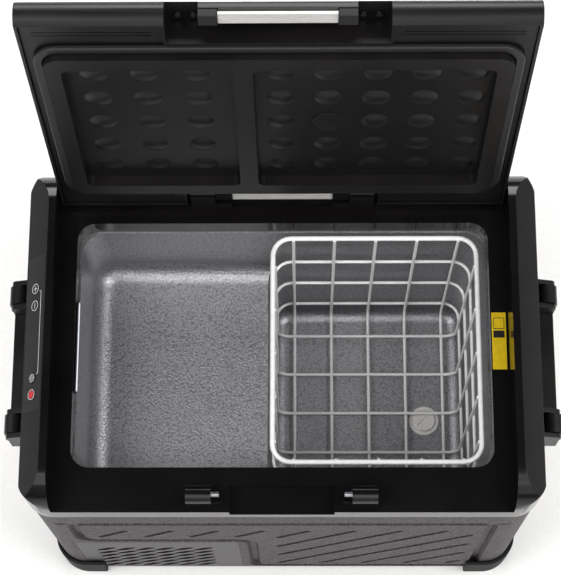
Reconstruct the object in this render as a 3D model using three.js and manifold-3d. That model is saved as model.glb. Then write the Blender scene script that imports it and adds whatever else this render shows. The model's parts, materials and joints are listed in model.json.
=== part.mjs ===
// Compressor cooler fridge with a lift-off lid that opens from the front or from the back.
// Millimetres, +Z up. The origin is on the ground under the middle of the body, the front faces -Y.
import * as THREE from 'three';
import { mergeVertices } from 'three/addons/utils/BufferGeometryUtils.js';
import Module from 'manifold-3d';

const wasm = await Module();
wasm.setup();

// Driving dimensions
const RIM_Z = 350;              // top face of the upper frame
const SEAM_Z = 324;             // parting line between upper frame and lower casing
const HALF_W = 276;             // upper frame, half width
const HALF_D = 186;             // upper frame, half depth
const CORNER_R = 32;
const CASING_HALF_W = 274;
const CASING_BOTTOM = 12;
const WALL = 4;                 // moulded wall thickness
const GAP = 0.3;                // between pieces that touch
const MOUTH_HALF_W = 225;       // opening of the upper frame
const MOUTH_HALF_D = 137.5;
const MOUTH_R = 20;
const CAP_INNER = 243.3;        // inner wall of the end caps
const CAP_RISE = 50;            // end caps above the rim
const STEP_X = -20;             // shallow compartment to the left, deep one to the right
const SHALLOW_Z = 219;
const DEEP_Z = 53;
const BAY_X = -58;              // right wall of the machine bay
const BAY_TOP = 190;
const PIN_Y = 170;              // latch and hinge pins, front and back
const PIN_RISE = 17;            // pins above the rim
const PIN_R = 3;
const POST_IN = 73.8;           // posts that carry the pins
const POST_OUT = 100.5;
const LID_HALF_W = 241.5;
const LID_HALF_D = 186;
const LID_LEAN = 5.7;           // degrees past upright when the lid is open
const LID_SKIN = 3;
const SHAFT_RISE = 29;          // shafts of the release handles above the rim
const SHAFT_R = 2;
const RUNNING = 0.08;           // radial running clearance
const HANDLE_AXIS_X = 298;      // side handles
const HANDLE_AXIS_Z = RIM_Z - 66;
const FAN_X = -152;
const FAN_Z = 92;
const DRAIN_X = 172;
const DRAIN_Y = -12;

const rad = THREE.MathUtils.degToRad;
const paint = (color, roughness, metalness = 0) => new THREE.MeshStandardMaterial({ color, roughness, metalness });
const MATERIALS = {
  satinBlack: paint(0x1d1b1b, 0.4),
  grainedGrey: paint(0x3c3a3b, 0.7),
  rubber: paint(0x141414, 0.9),
  foam: paint(0xe6dfc0, 0.95),
  embossedAluminium: paint(0xc9cccf, 0.4, 1),
  steel: paint(0xa8abae, 0.3, 1),
  brushedAluminium: paint(0xd2d4d6, 0.35, 1),
  copper: paint(0xb87333, 0.35, 1),
  blackEnamel: paint(0x101112, 0.35),
  glossPanel: paint(0x0b0b0c, 0.1),
  whiteWire: paint(0xf2f3f2, 0.35),
  whiteLens: paint(0xf5fbff, 0.25),
  boardGreen: paint(0x14502c, 0.5),
  redIcon: paint(0xc1262a, 0.4),
};

// Booleans
function solid(geometry) {
  const bare = geometry.clone();
  bare.deleteAttribute('normal');
  bare.deleteAttribute('uv');
  const merged = mergeVertices(bare, 1e-4);
  return new wasm.Manifold(new wasm.Mesh({
    numProp: 3,
    vertProperties: new Float32Array(merged.attributes.position.array),
    triVerts: new Uint32Array(merged.index.array),
  }));
}

function geometryOf(manifold) {
  const mesh = manifold.getMesh();
  const geometry = new THREE.BufferGeometry();
  geometry.setAttribute('position', new THREE.BufferAttribute(mesh.vertProperties, 3));
  geometry.setIndex(new THREE.BufferAttribute(mesh.triVerts, 1));
  return geometry;
}

const join = (first, ...rest) => rest.reduce((sum, piece) => sum.add(piece), first);
const cut = (first, ...rest) => rest.reduce((left, piece) => left.subtract(piece), first);

// Shapes
function block(x0, x1, y0, y1, z0, z1) {
  const geometry = new THREE.BoxGeometry(x1 - x0, y1 - y0, z1 - z0);
  geometry.translate((x0 + x1) / 2, (y0 + y1) / 2, (z0 + z1) / 2);
  return solid(geometry);
}

function roundedOutline(halfW, halfD, r) {
  const shape = new THREE.Shape();
  shape.moveTo(halfW, -halfD + r);
  shape.lineTo(halfW, halfD - r);
  shape.absarc(halfW - r, halfD - r, r, 0, Math.PI / 2);
  shape.lineTo(-halfW + r, halfD);
  shape.absarc(-halfW + r, halfD - r, r, Math.PI / 2, Math.PI);
  shape.lineTo(-halfW, -halfD + r);
  shape.absarc(-halfW + r, -halfD + r, r, Math.PI, 1.5 * Math.PI);
  shape.lineTo(halfW - r, -halfD);
  shape.absarc(halfW - r, -halfD + r, r, 1.5 * Math.PI, 2 * Math.PI);
  return shape;
}

// A plan outline from z0 to z1, drawn in by `taper` on each side at the lower end.
function tub(halfW, halfD, r, z0, z1, { centreX = 0, taper = 0, steps = 5 } = {}) {
  const geometry = new THREE.ExtrudeGeometry(roundedOutline(halfW, halfD, r), {
    depth: z1 - z0, bevelEnabled: false, curveSegments: steps,
  });
  const at = geometry.attributes.position;
  for (let i = 0; i < at.count; i += 1) {
    const low = at.getZ(i) < 1e-6;
    const sx = low ? 1 - taper / halfW : 1;
    const sy = low ? 1 - taper / halfD : 1;
    at.setXYZ(i, at.getX(i) * sx + centreX, at.getY(i) * sy, at.getZ(i) + z0);
  }
  return solid(geometry);
}

// A side profile of [y, z] points carried along X, or an end profile of [x, z] points carried along Y.
function polygon(points) {
  const shape = new THREE.Shape();
  points.forEach(([a, b], i) => (i ? shape.lineTo(a, b) : shape.moveTo(a, b)));
  return shape;
}

function alongX(points, x0, x1) {
  const geometry = new THREE.ExtrudeGeometry(polygon(points), { depth: x1 - x0, bevelEnabled: false });
  geometry.rotateY(Math.PI / 2);
  geometry.rotateX(Math.PI / 2);
  geometry.translate(x0, 0, 0);
  return solid(geometry);
}

function alongY(points, y0, y1) {
  const geometry = new THREE.ExtrudeGeometry(polygon(points), { depth: y1 - y0, bevelEnabled: false });
  geometry.rotateX(Math.PI / 2);
  geometry.translate(0, y1, 0);
  return solid(geometry);
}

function rod(axis, r, length, [x, y, z], sides = 16) {
  const geometry = new THREE.CylinderGeometry(r, r, length, sides);
  if (axis === 'x') geometry.rotateZ(Math.PI / 2);
  if (axis === 'z') geometry.rotateX(Math.PI / 2);
  geometry.translate(x, y, z);
  return solid(geometry);
}

function turned(profile, sides, [x, y, z]) {
  const geometry = new THREE.LatheGeometry(profile.map(([r, h]) => new THREE.Vector2(r, h)), sides);
  geometry.rotateX(Math.PI / 2);
  geometry.translate(x, y, z);
  return geometry;
}

function arcPoints(cy, cz, ry, rz, fromDeg, toDeg, steps) {
  const points = [];
  for (let i = 0; i <= steps; i += 1) {
    const a = rad(fromDeg + ((toDeg - fromDeg) * i) / steps);
    points.push([cy + ry * Math.cos(a), cz + rz * Math.sin(a)]);
  }
  return points;
}

const model = new THREE.Group();
function place(name, shape, material, parent = model) {
  const geometry = shape.isBufferGeometry ? shape : geometryOf(shape);
  const mesh = new THREE.Mesh(geometry, material);
  mesh.name = name;
  parent.add(mesh);
  return mesh;
}

const ENDS = [['front', -1], ['rear', 1]];
const SIDES = [['left', -1], ['right', 1]];

// Upper frame: one moulding with the rim, two end caps, four posts and the finger recesses.
const CAP_PROFILE = [
  [CAP_INNER, SEAM_Z + GAP], [HALF_W, SEAM_Z + GAP], [HALF_W, RIM_Z], [HALF_W - 1.5, RIM_Z + 26.5],
  [251, RIM_Z + CAP_RISE], [CAP_INNER, RIM_Z + CAP_RISE],
];
const CAP_SIDE = [
  [-HALF_D, SEAM_Z + GAP], [HALF_D, SEAM_Z + GAP],
  ...arcPoints(HALF_D - 40, RIM_Z + 8, 40, CAP_RISE - 8, 0, 90, 6),
  ...arcPoints(-HALF_D + 40, RIM_Z + 8, 40, CAP_RISE - 8, 90, 180, 6),
];

// The control panel lies in the sloping face of the left cap: this turns a flat piece on to that face.
const SLOPE_X = -(HALF_W - 1.5 + 251) / 2;
const SLOPE_Z = RIM_Z + (26.5 + CAP_RISE) / 2;
const onSlope = (geometry) => {
  geometry.rotateY(-Math.PI / 4);
  geometry.translate(SLOPE_X, 0, SLOPE_Z);
  return geometry;
};
const PANEL_HALF_W = 15;
const PANEL_HALF_L = 87;
const PANEL_T = 2;
const BUTTONS = [['plus', 49], ['minus', 30], ['settings', -50], ['power', -68]];
const BUTTON_R = 6.1;

function slopeBox(halfW, halfL, low, high) {
  const geometry = new THREE.BoxGeometry(2 * halfW, 2 * halfL, high - low);
  geometry.translate(0, 0, (low + high) / 2);
  return solid(onSlope(geometry));
}

function slopeDisc(y, r, low, high) {
  const geometry = new THREE.CylinderGeometry(r, r, high - low, 24);
  geometry.rotateX(Math.PI / 2);
  geometry.translate(0, y, (low + high) / 2);
  return solid(onSlope(geometry));
}

function endCap(side) {
  const profile = CAP_PROFILE.map(([x, z]) => [side * x, z]);
  const ends = side > 0 ? profile : profile.reverse();
  const inX = side > 0 ? [CAP_INNER - 1, HALF_W + 1] : [-HALF_W - 1, -CAP_INNER + 1];
  return alongY(ends, -HALF_D, HALF_D).intersect(alongX(CAP_SIDE, ...inX));
}

function upperFrame() {
  let frame = tub(HALF_W, HALF_D, CORNER_R, SEAM_Z + GAP, RIM_Z, { steps: 7 });
  const plan = tub(HALF_W, HALF_D, CORNER_R, SEAM_Z, RIM_Z + CAP_RISE + 5, { steps: 7 });
  frame = frame.add(endCap(-1).intersect(plan)).add(endCap(1).intersect(plan));
  for (const [, end] of ENDS) {
    for (const [, side] of SIDES) {
      const top = RIM_Z + PIN_RISE;
      const round = arcPoints(end * PIN_Y, top, 10, 10, 0, 180, 8);
      const foot = [[end * PIN_Y - 10, RIM_Z - 2], [end * PIN_Y + 10, RIM_Z - 2]];
      const span = side > 0 ? [POST_IN, POST_OUT] : [-POST_OUT, -POST_IN];
      frame = frame.add(alongX([...foot, ...round], ...span));
      const bore = [side * (POST_IN + 6), end * PIN_Y, top];
      frame = frame.subtract(rod('x', PIN_R + RUNNING, 14, bore, 20));
    }
    const recess = end > 0 ? [157.3, HALF_D + 1] : [-HALF_D - 1, -157.3];
    frame = frame.subtract(block(-55.5, 55.5, ...recess, RIM_Z - 12, RIM_Z + 1));
  }
  frame = frame.subtract(tub(MOUTH_HALF_W, MOUTH_HALF_D, MOUTH_R, SEAM_Z - 5, RIM_Z + 5));
  frame = frame.subtract(slopeBox(PANEL_HALF_W + GAP, PANEL_HALF_L + GAP, -PANEL_T - GAP, 5));
  for (const [, y] of BUTTONS) frame = frame.subtract(slopeDisc(y, BUTTON_R + 0.5, -6, 1));
  return frame;
}
place('upper_frame', upperFrame(), MATERIALS.satinBlack);

for (const [endName, end] of ENDS) {
  for (const [sideName, side] of SIDES) {
    const middle = [side * (65.5 + POST_IN + 5) / 2, end * PIN_Y, RIM_Z + PIN_RISE];
    place(`${endName}_pin_${sideName}`, rod('x', PIN_R, POST_IN + 5 - 65.5, middle, 20), MATERIALS.steel);
  }
}

// Control panel overlay and its four push buttons, on the left cap.
function controlPanel() {
  let panel = slopeBox(PANEL_HALF_W, PANEL_HALF_L, -PANEL_T, 0);
  for (const [, y] of BUTTONS) panel = panel.subtract(slopeDisc(y, BUTTON_R + GAP, -5, 5));
  return panel;
}
place('control_panel', controlPanel(), MATERIALS.glossPanel);
for (const [name, y] of BUTTONS) {
  place(`${name}_button`, slopeDisc(y, BUTTON_R, -2.4, 0.5), name === 'power' ? MATERIALS.redIcon : MATERIALS.glossPanel);
}

// Lower casing with its window for the front and rear vents, and holes for the sockets.
const VENT = { x0: -240, x1: -52, z0: 16, z1: 173 };
const SOCKETS = [['mains_inlet', 92, 15, 11], ['dc_inlet', 50, 11, 8]];
const SOCKET_Z = 62;

function lowerCasing() {
  let casing = tub(CASING_HALF_W, HALF_D, CORNER_R, CASING_BOTTOM, SEAM_Z, { steps: 7 });
  const inside = tub(CASING_HALF_W - WALL, HALF_D - WALL, CORNER_R - WALL, CASING_BOTTOM - 5, SEAM_Z + 5);
  casing = casing.subtract(inside);
  for (const [, end] of ENDS) {
    const depth = end > 0 ? [HALF_D - 10, HALF_D + 5] : [-HALF_D - 5, -HALF_D + 10];
    casing = casing.subtract(block(VENT.x0 - GAP, VENT.x1 + GAP, ...depth, VENT.z0 - GAP, VENT.z1 + GAP));
  }
  for (const [, y, halfL, halfH] of SOCKETS) {
    const hole = block(-CASING_HALF_W - 5, -CASING_HALF_W + 9, y - halfL - GAP, y + halfL + GAP,
      SOCKET_Z - halfH - GAP, SOCKET_Z + halfH + GAP);
    casing = casing.subtract(hole);
  }
  return casing;
}
place('lower_casing', lowerCasing(), MATERIALS.grainedGrey);

function ventGrille(end) {
  const face = end * HALF_D;
  const back = face - end * 3;
  let grille = block(VENT.x0, VENT.x1, Math.min(face, back), Math.max(face, back), VENT.z0, VENT.z1);
  for (let row = 0; row < 6; row += 1) {
    const z = 36 + row * 19;
    grille = grille.subtract(block(-221, -83, Math.min(face, back) - 1, Math.max(face, back) + 1, z, z + 11));
  }
  return grille;
}
for (const [name, end] of ENDS) place(`${name}_vent_grille`, ventGrille(end), MATERIALS.satinBlack);

for (const [name, y, halfL, halfH] of SOCKETS) {
  const shell = block(-CASING_HALF_W - 0.5, -CASING_HALF_W + 22, y - halfL, y + halfL,
    SOCKET_Z - halfH, SOCKET_Z + halfH);
  const well = block(-CASING_HALF_W - 2, -CASING_HALF_W + 14, y - halfL + 3, y + halfL - 3,
    SOCKET_Z - halfH + 3, SOCKET_Z + halfH - 3);
  place(name, shell.subtract(well), MATERIALS.blackEnamel);
}

// Base pan and corner feet.
const drainHole = () => rod('z', 12 + GAP, 120, [DRAIN_X, DRAIN_Y, 30], 24);
function basePan() {
  const pan = tub(CASING_HALF_W - WALL - GAP, HALF_D - WALL - GAP, CORNER_R - WALL, 0, CASING_BOTTOM);
  const hollow = block(BAY_X + 10, 250, -165, 165, 3, CASING_BOTTOM + 1);
  const drainBoss = rod('z', 17, 9, [DRAIN_X, DRAIN_Y, 7.5], 24);
  return cut(pan, hollow).add(drainBoss).subtract(drainHole());
}
place('base_pan', basePan(), MATERIALS.grainedGrey);

function cornerFoot(side, end) {
  const outer = tub(CASING_HALF_W + 5, HALF_D + 5, CORNER_R + 5, 0, 50, { steps: 7 });
  const inX = side > 0 ? [220, 290] : [-290, -220];
  const inY = end > 0 ? [132, 200] : [-200, -132];
  const corner = outer.intersect(block(...inX, ...inY, 0, 50));
  const body = tub(CASING_HALF_W + GAP, HALF_D + GAP, CORNER_R + GAP, CASING_BOTTOM - GAP, 60, { steps: 7 });
  const pan = tub(CASING_HALF_W - WALL, HALF_D - WALL, CORNER_R - WALL, -1, 60);
  return cut(corner, body, pan);
}
for (const [endName, end] of ENDS) {
  for (const [sideName, side] of SIDES) {
    place(`foot_${endName}_${sideName}`, cornerFoot(side, end), MATERIALS.rubber);
  }
}

// Stepped liner: a shallow compartment over the machine bay and a deep one beside it.
const LINER_TOP = SEAM_Z;
function cavity(grow) {
  const shallow = tub(223.5 + grow, 136 + grow, 18 + grow, SHALLOW_Z - grow, LINER_TOP + 4, { taper: 3 });
  const halfW = (223.5 - STEP_X) / 2;
  const deep = tub(halfW + grow, 136 + grow, 18 + grow, DEEP_Z - grow, LINER_TOP + 4,
    { centreX: (223.5 + STEP_X) / 2, taper: 4 });
  return shallow.add(deep);
}
const belowTop = block(-300, 300, -200, 200, 0, LINER_TOP);
const liner = cavity(1.6).intersect(belowTop).subtract(cavity(0)).subtract(drainHole());
place('liner', liner, MATERIALS.embossedAluminium);

const EVAPORATOR = [0, 205, 138.4, 141.4, 110, 300];
place('evaporator_plate', block(...EVAPORATOR), MATERIALS.brushedAluminium);

function insulation() {
  let foam = tub(CASING_HALF_W - WALL - GAP, HALF_D - WALL - GAP, CORNER_R - WALL, CASING_BOTTOM + GAP, SEAM_Z - GAP);
  foam = cut(foam, cavity(1.6 + GAP), block(-300, BAY_X, -200, 200, 0, BAY_TOP), drainHole());
  const [x0, x1, y0, y1, z0, z1] = EVAPORATOR;
  return foam.subtract(block(x0 - GAP, x1 + GAP, y0 - 4, y1 + GAP, z0 - GAP, z1 + GAP));
}
place('foam_insulation', insulation(), MATERIALS.foam);

// Drain fitting through the floor of the deep compartment, and its quarter-turn plug.
place('drain_fitting', turned([
  [9.3, 3], [11.9, 3], [11.9, DEEP_Z + GAP], [18.5, DEEP_Z + GAP], [18.5, DEEP_Z + 1.6], [17.5, DEEP_Z + 2.4],
  [9.3, DEEP_Z + 2.4], [9.3, 3],
], 28, [DRAIN_X, DRAIN_Y, 0]), MATERIALS.rubber);
function drainPlug() {
  const top = DEEP_Z + 2.4 + GAP;
  const plug = solid(turned([[0, top - 18], [9.2, top - 18], [9.2, top], [13.8, top], [13.8, top + 2.2],
    [12.8, top + 3], [0, top + 3]], 28, [DRAIN_X, DRAIN_Y, 0]));
  const slot = block(-11, 11, -1.5, 1.5, -1.6, 2);
  return plug.subtract(slot.rotate([0, 0, 45]).translate([DRAIN_X, DRAIN_Y, top + 3]));
}
place('drain_plug', drainPlug(), MATERIALS.satinBlack);

// Light strip on the left wall of the mouth.
place('led_strip', block(-MOUTH_HALF_W + GAP, -MOUTH_HALF_W + 3, -51, 51, RIM_Z - 20, RIM_Z - 9), MATERIALS.whiteLens);

// Machine bay: compressor on its mounting plate, condenser, fan and electronics.
const COMPRESSOR = [-165, 60];
place('compressor_mount', join(
  block(-225, -105, 10, 110, CASING_BOTTOM + 6, CASING_BOTTOM + 8),
  ...[[-218, 20], [-112, 20], [-218, 100], [-112, 100]].map(([x, y]) => rod('z', 6, 8, [x, y, CASING_BOTTOM + 4.2], 12)),
), MATERIALS.rubber);
const shellProfile = [[0, 21], [40, 21], ...arcPoints(0, 78, 52, 56, -60, 90, 10)];
place('compressor', turned(shellProfile, 24, [...COMPRESSOR, 0]), MATERIALS.blackEnamel);

function condenser() {
  const rows = [];
  for (let i = 0; i <= 4; i += 1) rows.push(block(-210, -94, -118, -112, 30 + i * 26, 36 + i * 26));
  for (let i = 0; i < 4; i += 1) {
    const x = i % 2 ? -210 : -100;
    rows.push(block(x, x + 6, -118, -112, 30 + i * 26, 62 + i * 26));
  }
  return join(...rows);
}
place('condenser_coil', condenser(), MATERIALS.copper);

const FAN_Y = -158;
function fanShroud() {
  let shroud = block(FAN_X - 48, FAN_X + 48, FAN_Y - 10, FAN_Y + 10, FAN_Z - 48, FAN_Z + 48);
  shroud = shroud.subtract(rod('y', 44, 30, [FAN_X, FAN_Y, FAN_Z], 32));
  const bars = join(block(FAN_X - 46, FAN_X + 46, FAN_Y + 8, FAN_Y + 10, FAN_Z - 3, FAN_Z + 3),
    block(FAN_X - 3, FAN_X + 3, FAN_Y + 8, FAN_Y + 10, FAN_Z - 46, FAN_Z + 46));
  const spindle = rod('y', 2, 15, [FAN_X, FAN_Y + 2, FAN_Z], 12);
  return join(shroud, bars, spindle);
}
place('fan_shroud', fanShroud(), MATERIALS.satinBlack);
function fanRotor() {
  let rotor = rod('y', 15, 14, [FAN_X, FAN_Y - 1, FAN_Z], 24);
  for (let i = 0; i < 7; i += 1) {
    const blade = block(12, 42, -1, 1, -8, 8).rotate([35, 0, 0]);
    rotor = rotor.add(blade.rotate([0, (i * 360) / 7, 0]).translate([FAN_X, FAN_Y - 1, FAN_Z]));
  }
  return rotor.subtract(rod('y', 2 + RUNNING, 15, [FAN_X, FAN_Y + 2, FAN_Z], 12));
}
place('fan_rotor', fanRotor(), MATERIALS.satinBlack);

place('control_board', join(
  block(-250, -248, -80, 70, 100, 180), block(-248.5, -236, -60, -30, 115, 145), block(-248.5, -240, 0, 50, 120, 160),
), MATERIALS.boardGreen);

// Side handles: a bail that hangs from two ears on each side and swings out to carry.
const ARM = { in: 64, out: 85 };
function bracket(side) {
  const flip = (points) => (side > 0 ? points : points.map(([x, z]) => [-x, z]).reverse());
  const plate = flip([[HALF_W + GAP, RIM_Z - 92], [282, RIM_Z - 92], [282, RIM_Z - 50], [HALF_W + GAP, RIM_Z - 50]]);
  let piece = alongY(plate, -106, 106);
  const eye = arcPoints(HANDLE_AXIS_X, HANDLE_AXIS_Z, 8, 8, -90, 90, 8);
  const ear = flip([[281, HANDLE_AXIS_Z - 14], ...eye, [281, HANDLE_AXIS_Z + 14]]);
  for (const [, end] of ENDS) {
    for (const [a, b] of [[58, ARM.in - 0.5], [ARM.out + 0.5, 91]]) {
      piece = piece.add(alongY(ear, Math.min(end * a, end * b), Math.max(end * a, end * b)));
    }
    piece = piece.add(rod('y', PIN_R, 32, [side * HANDLE_AXIS_X, end * 74.5, HANDLE_AXIS_Z]));
  }
  return piece;
}
function bail(side) {
  const x0 = HANDLE_AXIS_X - 10;
  const x1 = HANDLE_AXIS_X + 10;
  const low = RIM_Z - 124;
  const span = side > 0 ? [x0, x1] : [-x1, -x0];
  let piece = block(...span, -ARM.out, ARM.out, low, HANDLE_AXIS_Z);
  piece = piece.subtract(block(span[0] - 1, span[1] + 1, -ARM.in, ARM.in, low + 22, HANDLE_AXIS_Z + 20));
  for (const [, end] of ENDS) {
    const y = end * (ARM.in + ARM.out) / 2;
    piece = piece.add(rod('y', 10, ARM.out - ARM.in, [side * HANDLE_AXIS_X, y, HANDLE_AXIS_Z], 24));
    piece = piece.subtract(rod('y', PIN_R + RUNNING, 40, [side * HANDLE_AXIS_X, y, HANDLE_AXIS_Z]));
  }
  return piece;
}
for (const [name, side] of SIDES) {
  place(`${name}_handle_bracket`, bracket(side), MATERIALS.satinBlack);
  place(`${name}_side_handle`, bail(side), MATERIALS.satinBlack);
}

// Wire basket in the deep compartment: a rim wire, four wall grilles and a floor grille.
const BASKET = { x0: -13.6, x1: 217, y: 130, top: RIM_Z - 18, bottom: DEEP_Z + 9 };
const WIRE = 3;
const COLUMNS = [0, 1, 2, 3, 4].map((i) => 12 + i * 45.7);
const ROWS = [0, 1, 2, 3, 4].map((i) => -104.6 + i * 49.6);
const RINGS = [BASKET.top - 80, BASKET.top - 155, BASKET.top - 234];

function basketRim() {
  const centreX = (BASKET.x0 + BASKET.x1) / 2;
  const halfW = (BASKET.x1 - BASKET.x0) / 2;
  const ring = tub(halfW, BASKET.y, 20, BASKET.top - 5, BASKET.top, { centreX });
  return ring.subtract(tub(halfW - 5, BASKET.y - 5, 15, BASKET.top - 8, BASKET.top + 3, { centreX }));
}
place('basket_rim', basketRim(), MATERIALS.whiteWire);

function wallGrille(along, face, ends, uprights) {
  const w = WIRE;
  const bar = (a0, a1, z0, z1) => (along === 'x'
    ? block(a0, a1, face - w / 2, face + w / 2, z0, z1)
    : block(face - w / 2, face + w / 2, a0, a1, z0, z1));
  const low = BASKET.bottom + WIRE + GAP;
  const high = BASKET.top - 5 - GAP;
  const bars = RINGS.map((z) => bar(ends[0], ends[1], z - w, z));
  bars.push(...uprights.map((a) => bar(a - w / 2, a + w / 2, low, high)));
  return join(...bars);
}
const inFromCorner = [BASKET.x0 + 6, BASKET.x1 - 6];
place('basket_front_grille', wallGrille('x', -BASKET.y + 3, inFromCorner, COLUMNS), MATERIALS.whiteWire);
place('basket_back_grille', wallGrille('x', BASKET.y - 3, inFromCorner, COLUMNS), MATERIALS.whiteWire);
const inFromWall = [-BASKET.y + 6, BASKET.y - 6];
place('basket_left_grille', wallGrille('y', BASKET.x0 + 3, inFromWall, ROWS), MATERIALS.whiteWire);
place('basket_right_grille', wallGrille('y', BASKET.x1 - 3, inFromWall, ROWS), MATERIALS.whiteWire);
function floorGrille() {
  const z0 = BASKET.bottom;
  const z1 = BASKET.bottom + WIRE;
  const bars = COLUMNS.map((x) => block(x - 1.5, x + 1.5, -BASKET.y + 5, BASKET.y - 5, z0, z1));
  bars.push(...ROWS.map((y) => block(BASKET.x0 + 5, BASKET.x1 - 5, y - 1.5, y + 1.5, z0, z1)));
  return join(...bars);
}
place('basket_floor_grille', floorGrille(), MATERIALS.whiteWire);

// Lid, drawn shut, then turned open about the rear pins. Heights here are above the rim.
const hinge = new THREE.Group();
hinge.position.set(0, PIN_Y, RIM_Z + PIN_RISE);
hinge.rotation.x = -rad(90 + LID_LEAN);
const lid = new THREE.Group();
lid.position.set(0, -PIN_Y, -PIN_RISE);
hinge.add(lid);
model.add(hinge);

// Side profile: the lower edge is rounded about the pin axis, so the lid clears the rim as it turns.
const EDGE = { turn: 16.4, deep: 24.4, high: 17, base: 3 };
const CROWN = 46;
function lidProfile(inset, base) {
  const turn = EDGE.turn - inset;
  const rim = Math.asin(Math.max((EDGE.base - PIN_RISE) / EDGE.turn, (base - PIN_RISE) / turn));
  const foot = THREE.MathUtils.radToDeg(rim);
  const low = arcPoints(PIN_Y, PIN_RISE, turn, turn, foot, 0, 4);
  const high = arcPoints(PIN_Y + EDGE.turn - EDGE.deep, PIN_RISE, EDGE.deep - inset, EDGE.high - inset, 0, 84, 6);
  const half = [[low[0][0], base], ...low, ...high.slice(1), [107, CROWN - 3.6 - inset], [54, CROWN - 1 - inset]];
  const mirrored = half.map(([y, z]) => [-y, z]).reverse();
  return [...half, [0, CROWN - inset], ...mirrored].filter(([y, z], i, all) => {
    const [py, pz] = all[(i + all.length - 1) % all.length];
    return Math.hypot(y - py, z - pz) > 0.01;
  });
}

const WELL_IN = 149;            // pockets for the posts and handles, from here out to the lid's edge
const WELL_HALF_W = 104;
const WELL_ROOF = 30.4;
function wells(grow) {
  return ENDS.map(([, end]) => {
    const y = [end * (WELL_IN - grow), end * (LID_HALF_D + 5)].sort((a, b) => a - b);
    return block(-WELL_HALF_W - grow, WELL_HALF_W + grow, ...y, -5, WELL_ROOF + grow);
  });
}

function lidShell() {
  const outer = alongX(lidProfile(0, EDGE.base), -LID_HALF_W, LID_HALF_W);
  const inner = alongX(lidProfile(LID_SKIN, -4), -LID_HALF_W + LID_SKIN, LID_HALF_W - LID_SKIN);
  let shell = outer.subtract(inner);
  shell = join(shell, ...wells(2).map((well) => well.intersect(outer)));
  shell = cut(shell, ...wells(0));
  for (const [, end] of ENDS) {
    shell = shell.subtract(block(-73.6, 73.6, end * PIN_Y - 3, end * PIN_Y + 3, WELL_ROOF - 1, SHAFT_RISE + 2.6));
    const skinEdge = [end * (PIN_Y + 4.2), end * (PIN_Y + 20)].sort((a, b) => a - b);
    shell = shell.subtract(block(-73.8, 73.8, ...skinEdge, 0, CROWN));
    for (const x of [-30, 30]) {
      const rib = block(x - 3, x + 3, end * PIN_Y - 3.6, end * PIN_Y + 3.6, SHAFT_RISE - 1.2, WELL_ROOF + 2);
      const bore = rod('x', SHAFT_R + RUNNING, 20, [x, end * PIN_Y, SHAFT_RISE]);
      shell = shell.add(rib).subtract(bore);
    }
  }
  return shell;
}
place('lid_outer_shell', lidShell(), MATERIALS.satinBlack, lid);

const PANEL_LOW = 6;
const BAYS = [[-206, -43.5], [-24.5, 206]];
function innerPanel() {
  let panel = block(-238, 238, -176.5, 176.5, PANEL_LOW, PANEL_LOW + 3);
  panel = panel.add(tub(221.5, 134.5, 16, -6, PANEL_LOW + 1));
  for (const [x0, x1] of BAYS) {
    const bay = tub((x1 - x0) / 2, 115.5, 8, -8, PANEL_LOW, { centreX: (x0 + x1) / 2 });
    panel = panel.subtract(bay);
  }
  return cut(panel, ...wells(2 + GAP));
}
place('lid_inner_panel', innerPanel(), MATERIALS.satinBlack, lid);

function lidFoam() {
  const inside = alongX(lidProfile(LID_SKIN + 1.2, PANEL_LOW + 3 + GAP), -237.5, 237.5);
  return cut(inside, ...wells(2 + GAP));
}
place('lid_foam', lidFoam(), MATERIALS.foam, lid);

const gasket = tub(231.5, 144, 25, 0.5, PANEL_LOW - GAP).subtract(tub(222.4, 135.4, 16.9, -2, PANEL_LOW + 2));
place('lid_gasket', gasket, MATERIALS.rubber, lid);

// Release handles, front and back: hooks that catch the pins, joined by a grip under a metal strip.
const LIP_IN = PIN_R + SHAFT_RISE - PIN_RISE + 0.6;
function releaseHandle(end) {
  const at = ([u, z]) => [end * u, z];
  const lip = arcPoints(PIN_Y, SHAFT_RISE, LIP_IN, LIP_IN, -96, -74, 3);
  const hub = SHAFT_RISE - 0.8;
  const outline = [...lip, [173.9, 23], [171, 23.8], [165.5, 25.5], [165.5, hub], [174.5, hub], [179, 25.5],
    [182, 19], [182, 11], [169, 9.6]];
  const brow = [[182.8, 19.6], [182.6, 24.5], [180, 28], [176.6, 30.3]];
  const grip = [[163, 19.6], ...brow, [175.6, 26.7], [163, 26.7]];
  const cheek = [[175, 19.6], ...brow, [175, 28.2]];
  const turn = (points) => (end > 0 ? points.map(at) : points.map(at).reverse());
  const hook = alongX(turn(outline), 55.6, 73.2).add(alongX(turn(outline), -73.2, -55.6));
  const bar = alongX(turn(grip), -56, 56).add(alongX(turn(cheek), -73.2, 73.2));
  const bore = rod('x', SHAFT_R + RUNNING, 160, [0, end * PIN_Y, SHAFT_RISE]);
  return hook.add(bar).subtract(bore);
}
for (const [name, end] of ENDS) {
  place(`${name}_release_handle`, releaseHandle(end), MATERIALS.satinBlack, lid);
  const y = [end * 167, end * 183.4].sort((a, b) => a - b);
  place(`${name}_grip_strip`, block(-55, 55, ...y, 12.5, 19.3), MATERIALS.brushedAluminium, lid);
  place(`${name}_handle_shaft`, rod('x', SHAFT_R, 146, [0, end * PIN_Y, SHAFT_RISE]), MATERIALS.steel, lid);
}

export default model;
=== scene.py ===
import json
import math

import bmesh
import bpy
from mathutils import Matrix, Vector

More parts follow.
